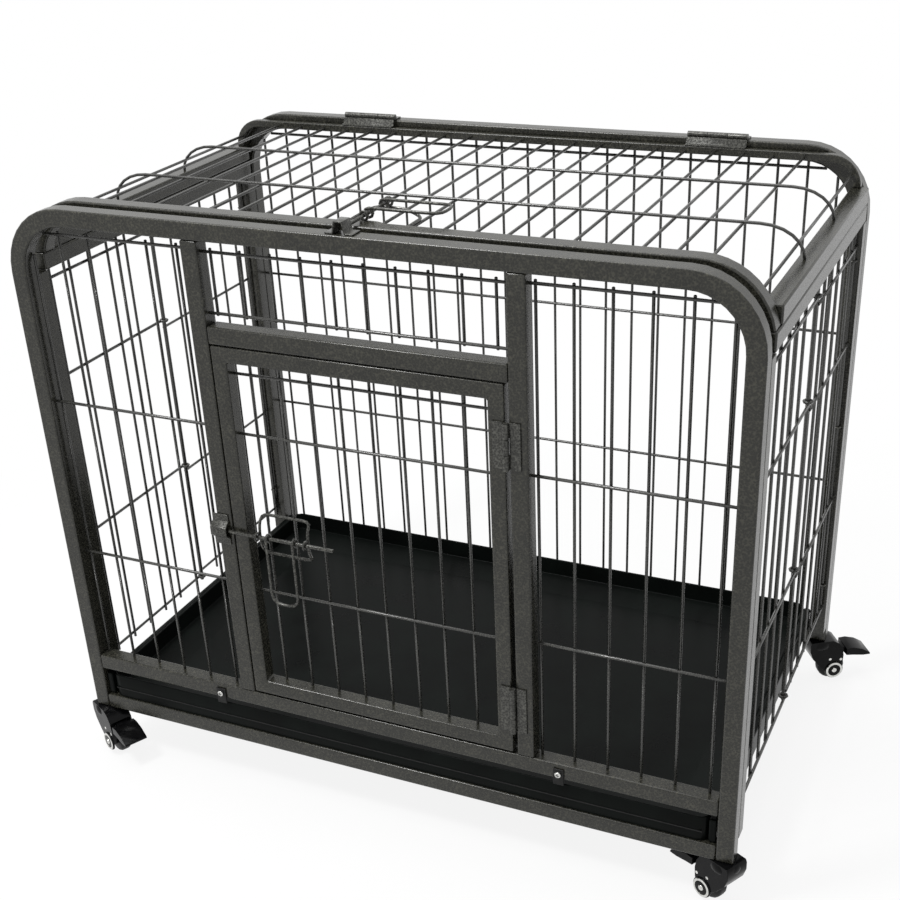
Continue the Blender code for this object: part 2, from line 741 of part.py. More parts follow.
def door_hinge(name, centre, length, door):
    turn = Matrix(((0, 1, 0, 0), (0, 0, -1, 0), (-1, 0, 0, 0), (0, 0, 0, 1)))
    place = Matrix.Translation((DOOR_HINGE_X, DOOR_HINGE_Y, centre)) @ turn
    fixed = hinge_leaf(length, outer_knuckles(length), flat_leaf(1), 1, False, True)
    moving = hinge_leaf(length, middle_knuckle(length), flat_leaf(-1), -1, True, False)
    piece(f"door_hinge_{name}_post_leaf", placed(fixed, place), PLATED, front_frame)
    piece(f"door_hinge_{name}_door_leaf", placed(moving, place), PLATED, door)


# Door
DOOR_X = (LEFT_POST[1] + DOOR_GAP_LATCH_SIDE, RIGHT_POST[0] - DOOR_GAP_HINGE_SIDE)
DOOR_Z = (RAIL_TOP + DOOR_GAP_BELOW, HEADER_TOP - TUBE - DOOR_GAP_ABOVE)
DOOR_HINGE_X = RIGHT_POST[0] - DOOR_GAP_HINGE_SIDE / 2
DOOR_HINGE_Y = FRONT - HINGE_RISE
door = joint_axis("door_hinge_axis", (DOOR_HINGE_X, DOOR_HINGE_Y, BASE), front_frame)


def rectangle(x, z, inset):
    return [
        (x[0] + inset, z[0] + inset),
        (x[1] - inset, z[0] + inset),
        (x[1] - inset, z[1] - inset),
        (x[0] + inset, z[1] - inset),
    ]


door_ring = [rectangle(DOOR_X, DOOR_Z, 0), rectangle(DOOR_X, DOOR_Z, DOOR_TUBE)]
door_plane = Matrix.Translation((0, FRONT + DOOR_TUBE / 2, 0)) @ UPRIGHT
piece("door_frame", plate(door_ring, DOOR_TUBE, door_plane), HAMMERTONE, door)


def door_grille():
    low = (DOOR_X[0] + DOOR_TUBE, DOOR_Z[0] + DOOR_TUBE + GAP)
    high = (DOOR_X[1] - DOOR_TUBE, DOOR_Z[1] - DOOR_TUBE - GAP)
    places = spaced(low[0], high[0], DOOR_FIRST_WIRE, DOOR_PITCH)
    uprights = [(x, low[1], high[1]) for x in places]
    heights = [*(BASE + z for z in DOOR_BARS), DOOR_Z[1] - DOOR_TOP_BAR_DROP]
    bars = [(z, low[0] + GAP, high[0] - GAP) for z in heights]
    return grille(uprights, bars, {"y": FRONT + FRONT_WIRE_SETBACK, "bars": -CROSSING})


piece("door_grille", door_grille(), DARK_WIRE, door)
HINGE_CENTRES = {
    "upper": DOOR_Z[1] - UPPER_HINGE_DROP - DOOR_HINGE_LENGTHS["upper"] / 2,
    "lower": DOOR_Z[0] + LOWER_HINGE_RISE + DOOR_HINGE_LENGTHS["lower"] / 2,
}
for name, centre in HINGE_CENTRES.items():
    door_hinge(name, centre, DOOR_HINGE_LENGTHS[name], door)


def lid_hinge(side_name, middle):
    length = LID_HINGE_LENGTH
    place = Matrix.Translation((middle, HINGE_Y, HINGE_Z))
    fixed = hinge_leaf(length, outer_knuckles(length), flat_leaf(1), 1, False, True)
    step = KNUCKLE_RADIUS + 3 * GAP
    low = -HINGE_RISE + GAP
    seat = LID_BAR_TOP + GAP - HINGE_Z
    far = LID_BAR_BACK - LID_BAR - HINGE_Y
    slope = LEAF_THICKNESS * LEAF_SLOPE
    near = -step
    turn = near - LEAF_THICKNESS
    profile = [
        (near, low),
        (near, low + LEAF_THICKNESS),
        (turn, low + LEAF_THICKNESS),
        (turn - slope, seat + LEAF_THICKNESS),
        (far, seat + LEAF_THICKNESS),
        (far, seat),
        (turn - slope + LEAF_THICKNESS, seat),
    ]
    moving = hinge_leaf(length, middle_knuckle(length), profile, -1, True, False)
    piece(f"lid_hinge_{side_name}_frame_leaf", placed(fixed, place), PLATED, back_frame)
    piece(f"lid_hinge_{side_name}_lid_leaf", placed(moving, place), PLATED, lid)


lid_hinge("left", LEFT + LID_HINGE_INSETS["left"] + LID_HINGE_LENGTH / 2)
lid_hinge("right", RIGHT - LID_HINGE_INSETS["right"] - LID_HINGE_LENGTH / 2)


def latch_eye(places, wire_radius):
    reach = BOLT_RADIUS + BOLT_SLACK + wire_radius
    loops = [ring((u, 0, 0), (1, 0, 0), reach) for u in places]
    return wires(loops, wire_radius, closed=True, resolution=RING_RESOLUTION)


def latch_guide(span, depth, sides):
    """A wire loop behind the bolt, with an eye round it at each end of the loop."""
    above, below = sides
    near = -(BOLT_RADIUS + BOLT_SLACK + 2 * LATCH_EYE_RADIUS + GUIDE_WIRE_RADIUS - 3 * WELD_BITE)
    far = -depth
    low, high = span
    corners = [
        (low, far, -above), (low, near, -above / 2), (low, near, below / 2),
        (low, far, below), (high, far, below), (high, near, below / 2),
        (high, near, -above / 2), (high, far, -above),
    ]
    loop = wires([bent(corners, LATCH_BEND, closed=True)], GUIDE_WIRE_RADIUS, closed=True, resolution=1)
    return combine(loop, [latch_eye(span, LATCH_EYE_RADIUS)])


def latch_handle(middle):
    """A U of wire with an eye round the bolt at each leg."""
    out = (BOLT_RADIUS + BOLT_SLACK + HANDLE_WIRE_RADIUS) / cos(pi / RING_POINTS)
    low = middle - HANDLE_WIDTH / 2
    high = middle + HANDLE_WIDTH / 2
    corners = [(low, out, 0), (low, out, HANDLE_LENGTH), (high, out, HANDLE_LENGTH), (high, out, 0)]
    grip = wires([bent(corners, HANDLE_BEND)], HANDLE_WIRE_RADIUS)
    return combine(grip, [latch_eye((low, high), HANDLE_WIRE_RADIUS)])


def keeper(width, half, rise, standoff, tip_clearance):
    """A strap with a hump over the bolt's end, standing on the tube beyond the tip."""
    foot = -standoff + GAP
    inner = BOLT_RADIUS + KEEPER_CLEARANCE
    outer = half - KEEPER_FOOT
    top = rise
    t = KEEPER_THICKNESS
    # local Y is outwards from the tube and local Z the handle's way
    outline = [
        (foot, -half), (foot + t, -half), (foot + t, -outer), (top, -inner - t), (top, inner + t),
        (foot + t, outer), (foot + t, half), (foot, half), (foot, outer - t), (top - t, inner),
        (top - t, -inner), (foot, -outer + t),
    ]
    middle = -tip_clearance - width / 2
    return plate([outline], width, Matrix.Translation((middle, 0, 0)) @ SIDEWAYS)


def latch(name, place, bolt_length, guide_span, guide_sizes, keeper_sizes, bodies):
    """A slide-bolt latch along local X from the bolt's tip; Y outwards, Z the handle's way."""
    holder, keeper_body = bodies
    slide = joint_axis(f"{name}_bolt_slide", place.translation, holder)
    middle = sum(guide_span) / 2
    swing = joint_axis(f"{name}_handle_axis", place @ Vector((middle, 0, 0)), slide)
    bolt = wires([[(0, 0, 0), (bolt_length, 0, 0)]], BOLT_RADIUS)
    guide = latch_guide(guide_span, *guide_sizes)
    piece(f"{name}_bolt", placed(bolt, place), PLATED, slide)
    piece(f"{name}_bolt_guide", placed(guide, place), PLATED, holder)
    piece(f"{name}_bolt_handle", placed(latch_handle(middle), place), PLATED, swing)
    piece(f"{name}_bolt_keeper", placed(keeper(*keeper_sizes), place), PLATED, keeper_body)


door_tip = (LEFT_POST[1] - DOOR_BOLT_TIP_BACK, FRONT - DOOR_BOLT_STANDOFF, BASE + DOOR_BOLT_HEIGHT)
door_latch = Matrix.Translation(door_tip) @ Matrix(
    ((1, 0, 0, 0), (0, -1, 0, 0), (0, 0, -1, 0), (0, 0, 0, 1))
)
door_guide_depth = (
    DOOR_BOLT_STANDOFF + FRONT_WIRE_SETBACK - WIRE_RADIUS - GAP - GUIDE_WIRE_RADIUS
)
latch(
    "door",
    door_latch,
    DOOR_BOLT_LENGTH,
    DOOR_GUIDE,
    (door_guide_depth, DOOR_GUIDE_SIDES),
    (DOOR_KEEPER_WIDTH, DOOR_KEEPER_HALF, DOOR_KEEPER_RISE, DOOR_BOLT_STANDOFF, DOOR_KEEPER_TIP_GAP),
    (door, front_frame),
)
lid_tip = (LID_BOLT_OFFSET, FRONT + TUBE + LID_BOLT_TIP_BACK, TOP + LID_BOLT_STANDOFF)
lid_latch = Matrix.Translation(lid_tip) @ Matrix(
    ((0, 0, 1, 0), (1, 0, 0, 0), (0, 1, 0, 0), (0, 0, 0, 1))
)
lid_guide_depth = LID_BOLT_STANDOFF + LID_WIRE_DROP - WIRE_RADIUS - GAP - GUIDE_WIRE_RADIUS
latch(
    "lid",
    lid_latch,
    LID_BOLT_LENGTH,
    LID_GUIDE,
    (lid_guide_depth, LID_GUIDE_SIDES),
    (LID_KEEPER_WIDTH, LID_KEEPER_HALF, LID_KEEPER_RISE, LID_BOLT_STANDOFF, LID_BOLT_TIP_BACK),
    (lid, front_frame),
)


def tray_ring(x, y, z, inset, corner):
    """A rounded rectangle at height z, inset from the sides x and y."""
    points = []
    for side_x, side_y, turn in ((1, 1, 0), (0, 1, 90), (0, 0, 180), (1, 0, 270)):
        centre_x = x[side_x] - (2 * side_x - 1) * (inset + corner)
        centre_y = y[side_y] - (2 * side_y - 1) * (inset + corner)
        for step in range(TRAY_CORNER_STEPS + 1):
            angle = radians(turn + 90 * step / TRAY_CORNER_STEPS)
            points.append((centre_x + corner * cos(angle), centre_y + corner * sin(angle), z))
    return points


def tray_mesh():
    """A shallow pan: an upright wall, then a border that slopes down to the flat floor."""
    x = (LEFT + TUBE + TRAY_SIDE_GAP, RIGHT - TUBE - TRAY_SIDE_GAP)
    y = (FRONT + TRAY_FRONT_SETBACK, BACK - TUBE + TRAY_REST_OVERLAP)
    low = SLOT_BOTTOM + GAP
    rim = low + TRAY_HEIGHT
    inner_corner = TRAY_CORNER - TRAY_WALL
    rings = [
        tray_ring(x, y, low, 0, TRAY_CORNER),
        tray_ring(x, y, rim, 0, TRAY_CORNER),
        tray_ring(x, y, rim, TRAY_WALL, inner_corner),
        tray_ring(x, y, low + TRAY_CREASE, TRAY_WALL, inner_corner),
        tray_ring(x, y, low + TRAY_FLOOR, TRAY_WALL + TRAY_BORDER, TRAY_FLOOR_CORNER),
    ]
    work = bmesh.new()
    loops = [[work.verts.new(p) for p in points] for points in rings]
    for lower, upper in zip(loops, loops[1:]):
        for k in range(len(lower)):
            work.faces.new((lower[k - 1], lower[k], upper[k], upper[k - 1]))
    work.faces.new(reversed(loops[0]))
    work.faces.new(loops[-1])
    bmesh.ops.recalc_face_normals(work, faces=work.faces)
    mesh = bpy.data.meshes.new("tray")
    work.to_mesh(mesh)
    work.free()
    return mesh


tray = joint_axis("tray_slide", (0, FRONT, SLOT_BOTTOM), back_frame)
piece("tray", tray_mesh(), BLACK_TRAY, tray)


def tray_clip(name, x):
    """A turn clip hanging from its screw on the upper rail."""
    z = SLOT_TOP + CLIP_SCREW_RISE
    pivot = joint_axis(f"tray_clip_{name}_axis", (x, FRONT, z), front_frame)
    back = FRONT - GAP
    face = back - CLIP_THICKNESS
    half = CLIP_WIDTH / 2
    blade = box((x - half, face, z - CLIP_REACH), (x + half, back, z + CLIP_ABOVE))
    head = rod((x, face + WELD_BITE, z), (x, face - SCREW_HEAD, z), SCREW_RADIUS, KNUCKLE_SIDES)
    piece(f"tray_clip_{name}", combine(blade, [head]), BLACK_NYLON, pivot)


tray_clip("left", LEFT + CLIP_INSETS["left"])
tray_clip("right", RIGHT - CLIP_INSETS["right"])


def caster_hood():
    """The swivelling hood: two cheeks under a roof, the axle and the pedal's pin across them."""
    body = plate([HOOD_PROFILE], CASTER_WIDTH, UPRIGHT)
    half = CASTER_SLOT / 2
    drop = -CASTER_HEIGHT
    slot = box((HOOD_BACK, -half, drop), (-drop, half, -HOOD_ROOF))
    hood = combine(body, [slot], "DIFFERENCE")
    reach = CASTER_WIDTH / 2 - WELD_BITE
    axle_z = CASTER_AXLE_Z + GAP  # the hood itself hangs a gap below the leg
    axle = rod((CASTER_TRAIL, -reach, axle_z), (CASTER_TRAIL, reach, axle_z), AXLE_RADIUS, AXLE_SIDES)
    u, z = PEDAL_PIVOT
    pin = rod((u, -reach, z), (u, reach, z), PEDAL_PIN_RADIUS, AXLE_SIDES)
    return combine(hood, [axle, pin])


def caster_wheel():
    """A turned tyre and hub with a bore for the axle."""
    half = WHEEL_WIDTH / 2
    bore = AXLE_RADIUS + AXLE_SLACK
    profile = [
        (bore, half), (WHEEL_RADIUS - WHEEL_EDGE, half), (WHEEL_RADIUS, half - WHEEL_EDGE),
        (WHEEL_RADIUS, WHEEL_EDGE - half), (WHEEL_RADIUS - WHEEL_EDGE, -half), (bore, -half),
    ]
    work = bmesh.new()
    verts = [work.verts.new((CASTER_TRAIL + r, w, 0)) for r, w in profile]
    edges = [work.edges.new((a, b)) for a, b in zip(verts, verts[1:] + verts[:1])]
    bmesh.ops.spin(
        work,
        geom=[*verts, *edges],
        cent=(CASTER_TRAIL, 0, 0),
        axis=(0, 1, 0),
        angle=2 * pi,
        steps=WHEEL_SIDES,
        use_merge=True,
    )
    bmesh.ops.recalc_face_normals(work, faces=work.faces)
    mesh = bpy.data.meshes.new("wheel")
    work.to_mesh(mesh)
    work.free()
    return placed(mesh, Matrix.Translation((0, 0, CASTER_AXLE_Z)))


def caster_pedal():
    """The brake pedal: a tongue between the cheeks round its pin, widening past the hood."""
    tongue = plate([TONGUE_PROFILE], PEDAL_TONGUE, UPRIGHT)
    pad = plate([PEDAL_PROFILE], CASTER_WIDTH, UPRIGHT)
    u, z = PEDAL_PIVOT
    reach = CASTER_WIDTH
    bore = rod((u, -reach, z), (u, reach, z), PEDAL_PIN_RADIUS + AXLE_SLACK, AXLE_SIDES)
    return combine(combine(tongue, [pad]), [bore], "DIFFERENCE")


for name, (side_x, end_y, angle) in CASTERS.items():
    frame = front_frame if end_y < 0 else back_frame
    x = side_x - TUBE / 2 if side_x > 0 else side_x + TUBE / 2
    y = end_y - TUBE / 2 if end_y > 0 else end_y + TUBE / 2
    place = Matrix.Translation((x, y, BASE - GAP)) @ Matrix.Rotation(radians(angle), 4, "Z")
    ground = Matrix.Translation((x, y, BASE)) @ Matrix.Rotation(radians(angle), 4, "Z")
    swivel = joint_axis(f"caster_{name}_swivel", (x, y, BASE), frame)
    axle = joint_axis(f"caster_{name}_axle", ground @ Vector((CASTER_TRAIL, 0, CASTER_AXLE_Z)), swivel)
    u, z = PEDAL_PIVOT
    pivot = joint_axis(f"caster_{name}_pedal_axis", place @ Vector((u, 0, z)), swivel)
    piece(f"caster_{name}_hood", placed(caster_hood(), place), BLACK_NYLON, swivel)
    piece(f"caster_{name}_wheel", placed(caster_wheel(), ground), TYRE, axle)
    piece(f"caster_{name}_brake_pedal", placed(caster_pedal(), place), BLACK_NYLON, pivot)
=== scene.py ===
import json
import math

import bmesh
import bpy
from mathutils import Matrix, Vector

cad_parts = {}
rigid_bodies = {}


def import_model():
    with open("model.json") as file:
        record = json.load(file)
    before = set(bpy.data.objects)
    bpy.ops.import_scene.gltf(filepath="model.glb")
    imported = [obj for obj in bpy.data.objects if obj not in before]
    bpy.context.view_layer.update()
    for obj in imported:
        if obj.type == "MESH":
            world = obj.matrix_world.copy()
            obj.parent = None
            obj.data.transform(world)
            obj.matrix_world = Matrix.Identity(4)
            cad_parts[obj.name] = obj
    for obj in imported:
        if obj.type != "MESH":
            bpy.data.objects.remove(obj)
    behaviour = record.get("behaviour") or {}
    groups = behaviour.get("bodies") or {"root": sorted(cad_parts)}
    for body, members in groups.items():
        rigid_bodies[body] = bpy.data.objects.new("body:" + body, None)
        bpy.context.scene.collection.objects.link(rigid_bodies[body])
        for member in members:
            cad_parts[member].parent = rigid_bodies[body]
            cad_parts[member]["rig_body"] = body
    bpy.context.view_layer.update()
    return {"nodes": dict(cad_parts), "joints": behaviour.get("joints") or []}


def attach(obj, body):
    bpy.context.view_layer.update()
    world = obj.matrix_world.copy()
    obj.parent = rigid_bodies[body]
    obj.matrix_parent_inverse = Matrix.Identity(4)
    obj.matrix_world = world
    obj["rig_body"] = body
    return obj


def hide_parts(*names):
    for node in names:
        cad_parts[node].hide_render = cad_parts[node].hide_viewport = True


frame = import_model()
joints = {joint["name"]: joint for joint in frame["joints"]}
print("frame loaded:", len(frame["nodes"]), "nodes")

# Camera, at the photograph's viewing angle
camera = {
    "place": (0.7510, -1.5834, 1.2407),
    "turn": (61.02, 2.41, 24.41),
    "lens": 56.57,
    "shift": (-0.0070, 0.1124),
}


def setCamera():
    lensData = bpy.data.cameras.new("camera")
    view = bpy.data.objects.new("camera", lensData)
    bpy.context.scene.collection.objects.link(view)
    view.location = camera["place"]
    view.rotation_euler = [math.radians(angle) for angle in camera["turn"]]
    lensData.lens = camera["lens"]
    lensData.shift_x, lensData.shift_y = camera["shift"]
    bpy.context.scene.camera = view


# Colours are written as sRGB hex and turned to linear here
def rgb(text):
    channels = [int(text[k : k + 2], 16) / 255 for k in (1, 3, 5)]
    linear = [c / 12.92 if c <= 0.04045 else ((c + 0.055) / 1.055) ** 2.4 for c in channels]
    return (*linear, 1.0)


def newMaterial(name):
    material = bpy.data.materials.new(name)
    material.use_nodes = True
    return material, material.node_tree.nodes["Principled BSDF"]


# Adds a node to a material or world; settings are attributes or socket values,
# links are (socket, source node, output)
def addNode(owner, kind, settings=None, links=()):
    node = owner.node_tree.nodes.new(kind)
    for key, value in (settings or {}).items():
        if isinstance(key, str) and hasattr(node, key):
            setattr(node, key, value)
        else:
            node.inputs[key].default_value = value
    for socket, source, output in links:
        join(owner, source, output, node, socket)
    return node


def join(owner, source, output, target, socket):
    owner.node_tree.links.new(source.outputs[output], target.inputs[socket])


def noise(material, place, sizeMm, detail):
    settings = {"Scale": 1000 / sizeMm, "Detail": detail}
    return addNode(material, "ShaderNodeTexNoise", settings, [("Vector", place, "Object")])


def ramp(material, source, output, stops):
    node = addNode(material, "ShaderNodeValToRGB", None, [("Fac", source, output)])
    while len(node.color_ramp.elements) < len(stops):
        node.color_ramp.elements.new(0.5)
    for element, (place, colour) in zip(node.color_ramp.elements, stops):
        element.position = place
        element.color = colour
    return node


def mapRange(material, source, output, span, result):
    settings = {"From Min": span[0], "From Max": span[1], "To Min": result[0], "To Max": result[1]}
    return addNode(material, "ShaderNodeMapRange", settings, [("Value", source, output)])


def bumped(material, source, output, strength, heightMm):
    settings = {"Strength": strength, "Distance": heightMm / 1000}
    return addNode(material, "ShaderNodeBump", settings, [("Height", source, output)])


# Hammertone enamel: the pigment pools into cells of 2 to 3 mm with slightly paler rims
enamel = {
    "cellMm": 2.2,
    "cellSoftness": 0.6,
    "warpCells": 2,  # size of the noise that pushes the cells out of round, in cells
    "warpShare": 0.6,
    "warpDetail": 3.0,
    "cloudMm": 40,
    "cloudDetail": 4.0,
    "cloud": [(0.35, (0.82, 0.82, 0.82, 1.0)), (0.65, (1.12, 1.12, 1.10, 1.0))],
    "dark": "#1c1c18",
    "middle": "#272722",
    "pale": "#403f37",
    "stops": (0.10, 0.45, 0.85),
    "metallic": 0.1,
    "specular": 0.46,
    "cellSpan": (0.1, 0.8),
    "roughness": (0.20, 0.32),
    "bumpStrength": 0.6,
    "bumpMm": 0.10,
}


def hammertoneEnamel(name, look):
    material, shader = newMaterial(name)
    place = addNode(material, "ShaderNodeTexCoord")
    warp = noise(material, place, look["cellMm"] * look["warpCells"], look["warpDetail"])
    bent = addNode(
        material,
        "ShaderNodeMixRGB",
        {"blend_type": "LINEAR_LIGHT", "Fac": look["cellMm"] / 1000 * look["warpShare"]},
        [("Color1", place, "Object"), ("Color2", warp, "Color")],
    )
    cells = addNode(
        material,
        "ShaderNodeTexVoronoi",
        {
            "feature": "SMOOTH_F1",
            "Scale": 1000 / look["cellMm"],
            "Smoothness": look["cellSoftness"],
        },
        [("Vector", bent, "Color")],
    )
    colours = [rgb(look[key]) for key in ("dark", "middle", "pale")]
    tone = ramp(material, cells, "Distance", list(zip(look["stops"], colours)))
    cloud = noise(material, place, look["cloudMm"], look["cloudDetail"])
    drift = ramp(material, cloud, "Fac", look["cloud"])
    colour = addNode(
        material,
        "ShaderNodeMixRGB",
        {"blend_type": "MULTIPLY", "Fac": 1.0},
        [("Color1", tone, "Color"), ("Color2", drift, "Color")],
    )
    rough = mapRange(material, cells, "Distance", look["cellSpan"], look["roughness"])
    bump = bumped(material, cells, "Distance", look["bumpStrength"], look["bumpMm"])
    join(material, colour, "Color", shader, "Base Color")
    join(material, rough, "Result", shader, "Roughness")
    join(material, bump, "Normal", shader, "Normal")
    shader.inputs["Metallic"].default_value = look["metallic"]
    shader.inputs["Specular IOR Level"].default_value = look["specular"]
    return material


# Moulded plastic: a fine grain, slight clouding and a soft gloss;
# the low specular level keeps the black deep in a white room
plastic = {
    "grainDetail": 2.0,
    "cloudDetail": 5.0,
    "stops": (0.35, 0.70),
    "cloudSpan": (0.3, 0.7),
    "bumpStrength": 0.35,
    "ior": 1.53,
}


def mouldedPlastic(name, look):
    material, shader = newMaterial(name)
    place = addNode(material, "ShaderNodeTexCoord")
    grain = noise(material, place, look["grainMm"], look["grainDetail"])
    cloud = noise(material, place, look["cloudMm"], look["cloudDetail"])
    colours = [rgb(look[key]) for key in ("dark", "pale")]
    tone = ramp(material, cloud, "Fac", list(zip(look["stops"], colours)))
    rough = mapRange(material, cloud, "Fac", look["cloudSpan"], look["roughness"])
    bump = bumped(material, grain, "Fac", look["bumpStrength"], look["bumpMm"])
    join(material, tone, "Color", shader, "Base Color")
    join(material, rough, "Result", shader, "Roughness")
    join(material, bump, "Normal", shader, "Normal")
    shader.inputs["IOR"].default_value = look["ior"]
    shader.inputs["Specular IOR Level"].default_value = look["specular"]
    return material


# Bright plating with faint handling haze
plating = {
    "hazeMm": 5,
    "hazeDetail": 6.0,
    "dark": "#b9b9b6",
    "pale": "#e2e2de",
    "hazeSpan": (0.3, 0.7),
    "roughness": (0.14, 0.30),
}


def platedSteel(name, look):
    material, shader = newMaterial(name)
    place = addNode(material, "ShaderNodeTexCoord")
    haze = noise(material, place, look["hazeMm"], look["hazeDetail"])
    colours = [rgb(look[key]) for key in ("dark", "pale")]
    tone = ramp(material, haze, "Fac", list(zip(look["hazeSpan"], colours)))
    rough = mapRange(material, haze, "Fac", look["hazeSpan"], look["roughness"])
    join(material, tone, "Color", shader, "Base Color")
    join(material, rough, "Result", shader, "Roughness")
    shader.inputs["Metallic"].default_value = 1.0
    return material


# Satin charcoal: faces towards the eye read dark, top faces grey
tubeEnamel = hammertoneEnamel("hammertone enamel on tube", enamel)
# Glossier, so that the thin wires catch the light along their length, and a shade paler than the
# tubes' enamel: painted light on the same paint
wireEnamelWithPaintedLight = hammertoneEnamel(
    "hammertone enamel on wire, painted paler for light",
    {**enamel, "dark": "#262624", "middle": "#31312f", "pale": "#3d3d39", "specular": 0.65},
)
# Greyer and more metallic, which sets the hinges and bolts off from the tubes
fittingEnamel = hammertoneEnamel(
    "hammertone enamel on fittings",
    {**enamel, "middle": "#3a3a37", "pale": "#5a5a55", "metallic": 0.3, "specular": 0.45},
)
# A deep, faintly green black with hardly any shine
trayPlastic = mouldedPlastic(
    "moulded ABS of the tray",
    {
        **plastic,
        "grainMm": 0.8,
        "cloudMm": 60,
        "dark": "#090b0a",
        "pale": "#0e1210",
        "roughness": (0.26, 0.38),
        "bumpMm": 0.05,
        "ior": 1.5,
        "specular": 0.05,
    },
)
# Black with tight, glossy lights on the rounded hoods
casterNylon = mouldedPlastic(
    "glossy nylon of the casters",
    {
        **plastic,
        "grainMm": 1.2,
        "cloudMm": 12,
        "dark": "#080809",
        "pale": "#101011",
        "roughness": (0.12, 0.24),
        "bumpMm": 0.03,
        "specular": 0.10,
    },
)
# Black and dull, a little paler than the tray behind it
clipNylon = mouldedPlastic(
    "matt nylon of the tray clips",
    {
        **plastic,
        "grainMm": 0.6,
        "cloudMm": 10,
        "dark": "#101010",
        "pale": "#1a1a19",
        "roughness": (0.35, 0.5),
        "bumpMm": 0.05,
        "specular": 0.2,
    },
)
# Dull grey-black, so that the tread stands out from the glossy hood
treadRubber = mouldedPlastic(
    "polyurethane tread",
    {
        **plastic,
        "grainMm": 0.7,
        "cloudMm": 8,
        "dark": "#0e0e0f",
        "pale": "#191919",
        "roughness": (0.38, 0.55),
        "bumpMm": 0.08,
        "ior": 1.5,
        "specular": 0.2,
    },
)
# White glints on the wheels' rings, the axle caps and the screws
nickel = platedSteel("nickel-plated steel", plating)
print("materials made")

meshing = {
    "copyMerge": 0.00002,
    "copyFlat": 1.0,
    "copySharp": 60,
    "spinMerge": 0.000001,
    "spinSharp": 40,
}


def linked(name, mesh):
    piece = bpy.data.objects.new(name, mesh)
    bpy.context.scene.collection.objects.link(piece)
    return piece


def madeFrom(work, name, material):
    mesh = bpy.data.meshes.new(name)
    work.to_mesh(mesh)
    work.free()
    mesh.materials.append(material)
    return linked(name, mesh)


# A copy of a CAD node with its loose triangles merged and its edges rounded
def roundedCopy(node, edgeMm, material, segments=3, angle=40):
    source = frame["nodes"][node]
    mesh = source.data.copy()
    mesh.name = node + "_rounded"
    work = bmesh.new()
    work.from_mesh(mesh)
    bmesh.ops.remove_doubles(work, verts=work.verts, dist=meshing["copyMerge"])
    bmesh.ops.dissolve_limit(
        work,
        angle_limit=math.radians(meshing["copyFlat"]),
        verts=work.verts,
        edges=work.edges,
        delimit={"NORMAL"},
    )
    work.to_mesh(mesh)
    work.free()
    mesh.materials.clear()
    mesh.materials.append(material)
    piece = linked(node + "_rounded", mesh)
    rounding = piece.modifiers.new("edges", "BEVEL")
    rounding.width = edgeMm / 1000
    rounding.segments = segments
    rounding.limit_method = "ANGLE"
    rounding.angle_limit = math.radians(angle)
    rounding.use_clamp_overlap = True
    rounding.harden_normals = False
    rounding.miter_outer = "MITER_ARC"
    mesh.shade_smooth()
    mesh.set_sharp_from_angle(angle=math.radians(meshing["copySharp"]))
    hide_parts(node)
    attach(piece, frame["nodes"][node]["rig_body"])
    return piece


tubes = {
    "edgeMm": 2.2,
    "slimEdgeMm": 1.2,  # for the lid's back bar and the sides' posts, which are slimmer
    "nodes": [
        "back_arch",
        "back_lower_rail",
        "front_arch",
        "front_lower_rail",
        "front_upper_rail",
        "door_post_left",
        "door_post_right",
        "door_header",
        "door_frame",
        "lid_front_arch",
        "lid_side_rail_left",
        "lid_side_rail_right",
        "side_brace_left",
        "side_brace_right",
    ],
}
for node in tubes["nodes"]:
    roundedCopy(node, tubes["edgeMm"], tubeEnamel)
roundedCopy("lid_back_bar", tubes["slimEdgeMm"], tubeEnamel)
for end in ("front", "rear"):
    for side in ("left", "right"):
        post = f"{end}_side_post_{side}"
        roundedCopy(post, tubes["slimEdgeMm"], tubeEnamel, segments=2)
print("tubes made")

# The wires are seen with their coat, which makes them a little thicker than the CAD's bare wire
wires = {
    "edgeMm": 0.45,
    "enamelMm": 0.35,
    "nodes": [
        "back_grille",
        "front_grille_left",
        "front_grille_right",
        "header_grille",
        "door_grille",
        "lid_grille",
        "side_front_half_left",
        "side_front_half_right",
        "side_rear_half_left",
        "side_rear_half_right",
    ],
}
for node in wires["nodes"]:
    # The grilles take the paler wire enamel, which is painted light on the tubes' own paint
    grille = roundedCopy(node, wires["edgeMm"], wireEnamelWithPaintedLight, segments=1, angle=30)
    coat = grille.modifiers.new("enamel", "DISPLACE")
    coat.strength = wires["enamelMm"] / 1000
    coat.mid_level = 0.0
print("grilles made")

# Hinge leaves and bolt keepers are plates, the bolts and their handles are wire
fittings = {"plateMm": 0.5, "wireMm": 0.5}
for node in frame["nodes"]:
    if "hinge" in node or "keeper" in node:
        roundedCopy(node, fittings["plateMm"], fittingEnamel, segments=2)
    elif "bolt" in node:
        roundedCopy(
            node, fittings["wireMm"], fittingEnamel, segments=2, angle=30
        )
print("fittings made")


# A slim box with rounded edges between two corners
def moulding(name, look, material):
    low, high = Vector(look["low"]), Vector(look["high"])
    work = bmesh.new()
    bmesh.ops.create_cube(work, size=1.0)
    bmesh.ops.scale(work, vec=high - low, verts=work.verts)
    bmesh.ops.translate(work, vec=(low + high) / 2, verts=work.verts)
    bmesh.ops.bevel(
        work,
        geom=work.edges[:],
        offset=look["edge"],
        segments=2,
        affect="EDGES",
        profile=0.5,
        material=-1,
    )
    return madeFrom(work, name, material)
